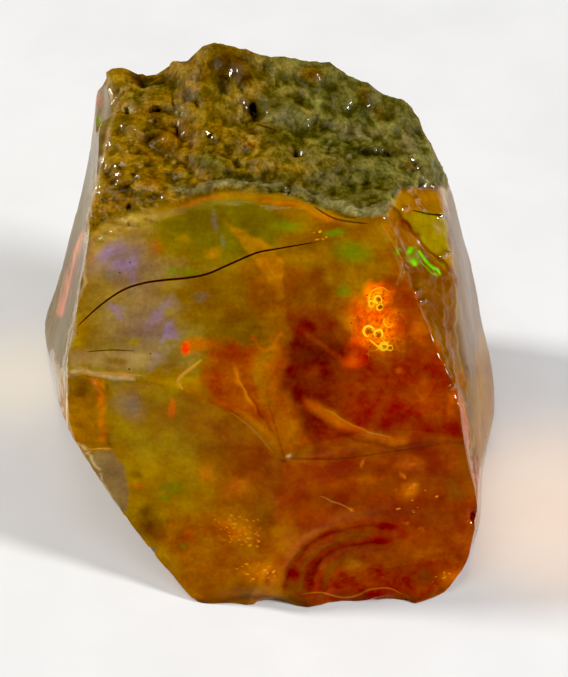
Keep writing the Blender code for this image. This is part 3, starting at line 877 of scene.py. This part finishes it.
def paint_stone(stone):
    """Works out the colour, clearness and finish of each point, and keeps them as the stone's attributes."""
    plain = Surface(stone)
    surface = plain.wavy()
    front = seen(surface)
    rind = rind_share(surface)
    area, oval, stroke = surface.area, surface.oval, surface.stroke

    # What shows all over: olive amber on the left, deep amber on the right, browner on the unseen sides
    side = ease(-7 * MM, 6 * MM, surface.places[:, 0] + 2.5 * MM * surface.coarse[:, 0])[:, None]
    colour = BODY_GAIN * (YELLOW_OLIVE * (1 - side) + AMBER * side)
    sideways = 0.8 * ease(0.40, 0.85, np.abs(surface.normals[:, 0]) + 0.2 * surface.coarse[:, 1])[:, None]
    colour = colour * (1 - sideways) + BODY_GAIN * SIDE_BROWN * sideways
    opal = Brush(surface, colour, BODY_GAIN)
    paint_front_break(opal)
    paint_lower_breaks(opal)
    paint_left_side(opal)
    paint_right_side(opal)
    paint_under_lip(opal)
    fire = paint_fire(opal)

    # The rind, with painted shade in its hollows and painted light on its crests
    right = ease(170, 350, surface.across + 60 * surface.coarse[:, 1] + 30 * surface.fine[:, 0])[:, None]
    rock = RIND_GAIN * (OCHRE * (1 - right) + MOSS * right)
    paint_rind(Brush(surface, rock, RIND_GAIN))
    # painted shade in the hollows and painted highlight on the crests, from how deep each point lies
    small_hollow_shade = ease(-0.010 * MM, 0.022 * MM, hollowness(stone, surface, 3))
    wide_hollow_shade = ease(-0.05 * MM, 0.09 * MM, hollowness(stone, surface, 16))
    rock *= (1.36 - 0.50 * small_hollow_shade - 0.45 * wide_hollow_shade)[:, None]
    share = rind[:, None]
    colour[:] = colour * (1 - share) + rock * share

    # Clearness for light to pass, roughness and the wet film
    flanks = np.maximum(area(FLANK_LEFT, 4), area(FLANK_RIGHT, 6)) * front
    torn = np.maximum(area(TORN_RIGHT, 5), area(TORN_LEFT, 5)) * front
    rough_left = area([(92, 200), (150, 200), (160, 225), (120, 240), (88, 262)], 14) * front
    foot = stroke([(172, 602), (257, 604), (313, 608), (400, 604), (456, 592)], 12) * front
    groove = stroke(UNDER_LIP, 22) * front
    clear = (0.40 - 0.15 * flanks) * (1 - 0.6 * torn) * (1 - 0.85 * fire * front)
    clear = clear * (1 - 0.6 * rough_left) * (1 - rind) * (1 - 0.2 * groove)
    rough = 0.08 + 0.25 * torn + 0.2 * rough_left + 0.2 * flanks + 0.3 * foot + 0.6 * groove
    rough = np.minimum(rough, 0.6) * (1 - rind) + 0.5 * rind
    wet = 0.30 * area([(100, 70), (140, 75), (185, 130), (185, 200), (165, 225), (100, 245), (95, 180)], 24)
    wet = np.maximum(wet, 0.15 * area([(225, 60), (400, 80), (445, 180), (330, 160), (240, 150)], 24))
    for across, down in WET_BEADS + FACET_BEADS:
        wet = np.maximum(wet, plain.oval(across, down, 5, soft=0.5))
    film = np.clip(wet, 0, 1) * np.maximum(rind, 0.8) * front

    # Where the painted gold glints, fire rings and pinholes show, and the fine lines
    gold_glints = oval(241, 530, 32, 20, 25, 0.6) + oval(254, 575, 24, 14, 10, 0.6) + 0.4 * oval(325, 236, 14, 10)
    gold_glints = gold_glints + 0.07 * oval(415, 495, 34, 40) + 0.4 * oval(445, 578, 20, 12)
    rings = np.maximum(oval(380, 298, 18, 16, 0, 0.6), oval(378, 330, 42, 36, 30, 0.6))
    pinholes = area([(88, 235), (180, 230), (170, 380), (70, 380)], 20)
    dark_away, dark = fine_lines(plain, DARK_LINES)
    light_away, light = fine_lines(plain.wavy(0, 1.5), LIGHT_LINES + FIRE_RINGS)

    for name, red, green, blue, alpha in (
        ("opal_colour", *np.clip(colour, 0, 1).T, clear),
        ("fine_lines", dark_away, dark * front, light_away, light * front),
        ("spots", np.clip(gold_glints, 0, 1) * front, rings * front, pinholes * front, film),
    ):
        attribute = stone.data.color_attributes.new(name=name, type="FLOAT_COLOR", domain="POINT")
        attribute.data.foreach_set("color", np.column_stack([red, green, blue, alpha]).ravel())
    for name, values in (("opal_roughness", rough), ("rind_share", rind)):
        layer = stone.data.attributes.new(name, "FLOAT", "POINT")
        layer.data.foreach_set("value", values)


# Materials


class Shader:
    """A new material's node tree, with short ways to add and join its nodes."""

    def __init__(self, name):
        self.material = bpy.data.materials.new(name)
        self.material.use_nodes = True
        self.tree = self.material.node_tree
        self.finish = self.tree.nodes["Principled BSDF"]
        self.output = self.tree.nodes["Material Output"]

    def add(self, kind, settings=None, **values):
        node = self.tree.nodes.new("ShaderNode" + kind)
        for name, value in (settings or {}).items():
            setattr(node, name, value)
        for name, value in values.items():
            self.join(value, node.inputs[name.replace("_", " ")])
        return node

    def join(self, value, socket):
        if isinstance(value, bpy.types.NodeSocket):
            self.tree.links.new(value, socket)
        else:
            socket.default_value = value

    def maths(self, operation, *values):
        node = self.add("Math", {"operation": operation})
        for value, socket in zip(values, node.inputs):
            self.join(value, socket)
        return node.outputs[0]

    def times(self, first, second):
        return self.maths("MULTIPLY", first, second)

    def scaled(self, vector, share):
        node = self.add("VectorMath", {"operation": "SCALE"})
        self.join(vector, node.inputs[0])
        self.join(share, node.inputs["Scale"])
        return node.outputs[0]

    def painted(self, name):
        """What was painted on the stone's points under this name."""
        return self.add("Attribute", {"attribute_name": name})

    def mix(self, share, first, second):
        node = self.add("Mix", {"data_type": "RGBA"})
        for value, number in ((share, 0), (first, 6), (second, 7)):
            self.join(value, node.inputs[number])
        return node.outputs[2]

    def ramp(self, value, low, high, to_low=0.0, to_high=1.0):
        node = self.add("MapRange", {"interpolation_type": "SMOOTHSTEP"})
        for item, number in ((value, 0), (low, 1), (high, 2), (to_low, 3), (to_high, 4)):
            self.join(item, node.inputs[number])
        return node.outputs[0]

    def grain(self, size, detail=3.0, roughness=0.55, where=None, give="Fac"):
        """Cloudy noise with features of this size."""
        node = self.add("TexNoise", Scale=1 / size, Detail=detail, Roughness=roughness)
        self.join(where or self.add("TexCoord").outputs["Object"], node.inputs["Vector"])
        return node.outputs[give]


def opal_and_rind():
    """The painted colours under clouds and grit, with gold sparkles painted as glints of light, fire rings,
    pinholes and fine lines.
    """
    shader = Shader("amber_opal_with_rind")
    add, join, mix, ramp, grain = shader.add, shader.join, shader.mix, shader.ramp, shader.grain
    times, scaled = shader.times, shader.scaled
    here = add("TexCoord").outputs["Object"]
    painted = shader.painted("opal_colour")
    roughness = shader.painted("opal_roughness").outputs["Fac"]
    rind = shader.painted("rind_share").outputs["Fac"]
    spots = shader.painted("spots")
    gold_glints, rings, pinholes = add("SeparateColor", Color=spots.outputs["Color"]).outputs[:3]
    lines = shader.painted("fine_lines")
    dark_away, dark, light_away = add("SeparateColor", Color=lines.outputs["Color"]).outputs[:3]

    # clouds and streaks in the opal, and the rind's grit
    clouds_in_opal = grain(1.1 * MM, 6.0, 0.62)
    mottle = grain(0.17 * MM, 4.0, 0.6)
    stretched = add("Mapping", Vector=here, Rotation=(0.5, 0.7, 0.6), Scale=(1.0, 5.0, 3.0))
    streaks = grain(2.2 * MM, 5.0, 0.6, stretched.outputs[0])
    tint = times(ramp(clouds_in_opal, 0.30, 0.70, 0.84, 1.17), ramp(mottle, 0.30, 0.70, 0.90, 1.10))
    tint = times(tint, ramp(streaks, 0.34, 0.66, 0.90, 1.12))
    rock_grain = grain(0.50 * MM, 7.0, 0.70)
    rock_lumps = grain(1.3 * MM)
    rock_crumbs = grain(0.13 * MM, 3.0, 0.6)
    speckle = times(ramp(rock_grain, 0.36, 0.66, 0.62, 1.36), ramp(rock_lumps, 0.34, 0.66, 0.78, 1.22))
    speckle = times(speckle, ramp(rock_crumbs, 0.34, 0.68, 0.78, 1.24))
    shade = add("Mix", {"data_type": "FLOAT"})
    for value, number in ((rind, 0), (tint, 2), (speckle, 3)):
        join(value, shade.inputs[number])
    warm = add("HueSaturation", Color=scaled(painted.outputs["Color"], shade.outputs[0]))
    join(ramp(clouds_in_opal, 0.30, 0.70, 0.488, 0.512), warm.inputs["Hue"])

    # small spots, at some of the cells of a warped pattern; the gold ones are painted glints of light
    swayed = add("VectorMath", {"operation": "ADD"})
    join(here, swayed.inputs[0])
    join(scaled(grain(0.35 * MM, 2.0, give="Color"), 0.16 * MM), swayed.inputs[1])
    swayed = swayed.outputs[0]
    slanted = add("Mapping", Vector=swayed, Rotation=(0.0, 0.0, -0.3), Scale=(0.6, 1.0, 1.5)).outputs[0]

    def spots_in(size, radius, share, zone, where=swayed):
        pattern = add("TexVoronoi", Scale=1 / size, Vector=where)
        spot = ramp(pattern.outputs["Distance"], radius * 0.5, radius, 1.0, 0.0)
        chance = add("SeparateColor", Color=pattern.outputs["Color"]).outputs[0]
        chosen = shader.maths("LESS_THAN", chance, times(zone, share))
        return times(spot, chosen)

    flicker = grain(0.20 * MM, 4.0, 0.65, swayed)
    colour = warm.outputs[0]
    for share, paint in (
        (times(ramp(flicker, 0.40, 0.66, 0.0, 0.75), rings), FIRE_SHADOW),
        (times(ramp(flicker, 0.30, 0.42, 0.6, 0.0), rings), FIRE_GLINT),
        (spots_in(0.13 * MM, 0.42, 0.22, rings), EMBER),
        # painted highlights: gold glints of light through the stone
        (spots_in(0.12 * MM, 0.50, 0.55, gold_glints, slanted), SMALL_GOLD_GLINT),
        (spots_in(0.20 * MM, 0.42, 0.34, gold_glints, slanted), LARGE_GOLD_GLINT),
        (spots_in(0.42 * MM, 0.11, 0.35, pinholes), PINHOLE),
    ):
        colour = mix(share, colour, paint)

    # fine lines, the pale ones golden in the fire
    golden = mix(rings, PALE_LINE, FIRE_LINE)
    for away, strength, paint in (
        (light_away, lines.outputs["Alpha"], golden), (dark_away, dark, DARK_LINE),
    ):
        near = ramp(shader.maths("ABSOLUTE", away), 0.6, 1.25, 1.0, 0.0)
        colour = mix(times(near, strength), colour, paint)

    absorb = add("VolumeAbsorption", Color=(1.0, 0.72, 0.16, 1.0), Density=90.0)
    join(absorb.outputs[0], shader.output.inputs["Volume"])
    height = times(shader.maths("ADD", rock_grain, rock_crumbs), rind)
    bump = add("Bump", Strength=0.4, Distance=0.08 * MM, Height=height)
    for name, value in (
        ("Base Color", colour), ("Roughness", roughness), ("IOR", 1.44), ("Normal", bump.outputs[0]),
        ("Transmission Weight", painted.outputs["Alpha"]), ("Specular IOR Level", 0.12),
        ("Coat Weight", spots.outputs["Alpha"]), ("Coat Roughness", 0.03),
    ):
        join(value, shader.finish.inputs[name])
    return shader.material


def floor_paper():
    """Pale, nearly even paper."""
    shader = Shader("pale_paper")
    shade = shader.ramp(shader.grain(6 * MM), 0.3, 0.7, 0.60, 0.63)
    colour = shader.add("CombineColor")
    for socket in colour.inputs:
        shader.join(shade, socket)
    shader.join(colour.outputs[0], shader.finish.inputs["Base Color"])
    shader.finish.inputs["Roughness"].default_value = 0.8
    return shader.material


# The pieces


def make_stone():
    stone = stone_surface()
    set_outline(stone)
    shape_rind(stone)
    shape_breaks(stone)
    paint_stone(stone)
    only(stone)
    bpy.ops.object.shade_smooth_by_angle(angle=math.radians(40))
    stone.data.materials.clear()
    stone.data.materials.append(opal_and_rind())
    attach(stone, "root")
    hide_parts("opal_stone")


def make_floor():
    bpy.ops.object.select_all(action="DESELECT")
    bpy.ops.mesh.primitive_plane_add(size=1.2, location=(0, 0, -FLOOR_GAP))
    floor = bpy.context.active_object
    floor.name = "floor"
    floor.data.materials.append(floor_paper())


def set_up(name, thing, place):
    """Puts a lamp or the camera in the scene."""
    holder = bpy.data.objects.new(name, thing)
    bpy.context.scene.collection.objects.link(holder)
    holder.location = place
    return holder


def soft_lamp(name, place, power, size, colour=(1.0, 1.0, 1.0)):
    """A round lamp that shines at the stone's middle."""
    lamp = bpy.data.lights.new(name, "AREA")
    lamp.shape = "DISK"
    lamp.energy, lamp.size, lamp.color = power, size, colour
    towards_stone = Vector((0.0, 0.0, 6 * MM)) - Vector(place)
    set_up(name, lamp, place).rotation_euler = towards_stone.to_track_quat("-Z", "Y").to_euler()


def glow_on_floor(name, place, radius, power, colour):
    """The light that the opal passes on to the floor beside it, as a small soft spot light."""
    height = 60 * MM
    spot = bpy.data.lights.new(name, "SPOT")
    spot.energy, spot.color = power, colour
    spot.spot_size, spot.spot_blend = 2 * math.atan2(radius * MM, height), 1.0
    spot.shadow_soft_size = 2 * MM
    set_up(name, spot, (place[0] * MM, place[1] * MM, height))


def make_lights():
    sky = bpy.data.worlds.new("studio")
    bpy.context.scene.world = sky
    sky.use_nodes = True
    background = sky.node_tree.nodes["Background"]
    background.inputs["Color"].default_value = (0.93, 0.95, 1.0, 1.0)
    background.inputs["Strength"].default_value = 0.14
    soft_lamp("left_lamp", (-0.22, 0.05, 0.15), 0.80, 0.05, (1.0, 0.98, 0.94))
    soft_lamp("right_lamp", (0.22, -0.065, 0.115), 0.82, 0.05)
    soft_lamp("overhead_lamp", (-0.04, -0.05, 0.30), 0.18, 0.16)
    glow_on_floor("right_glow", (13.5, -3.5), 7, 0.07, (1.0, 0.50, 0.10))
    glow_on_floor("left_glow", (-11.2, 4.6), 3.5, 0.04, (1.0, 0.70, 0.15))


def make_camera():
    camera = set_up("camera", bpy.data.cameras.new("camera"), EYE)
    camera.rotation_euler = (-TOWARDS_CAMERA).to_track_quat("-Z", "Y").to_euler()
    camera.data.lens, camera.data.sensor_width = LENS, SENSOR
    camera.data.clip_start, camera.data.clip_end = 1 * MM, 5.0
    bpy.context.scene.camera = camera


make_stone()
make_floor()
make_lights()
make_camera()
grading = bpy.context.scene.view_settings
grading.view_transform = "Standard"
grading.use_curve_mapping = True
grading.curve_mapping.black_level = (0.010, 0.011, 0.017)
grading.curve_mapping.update()
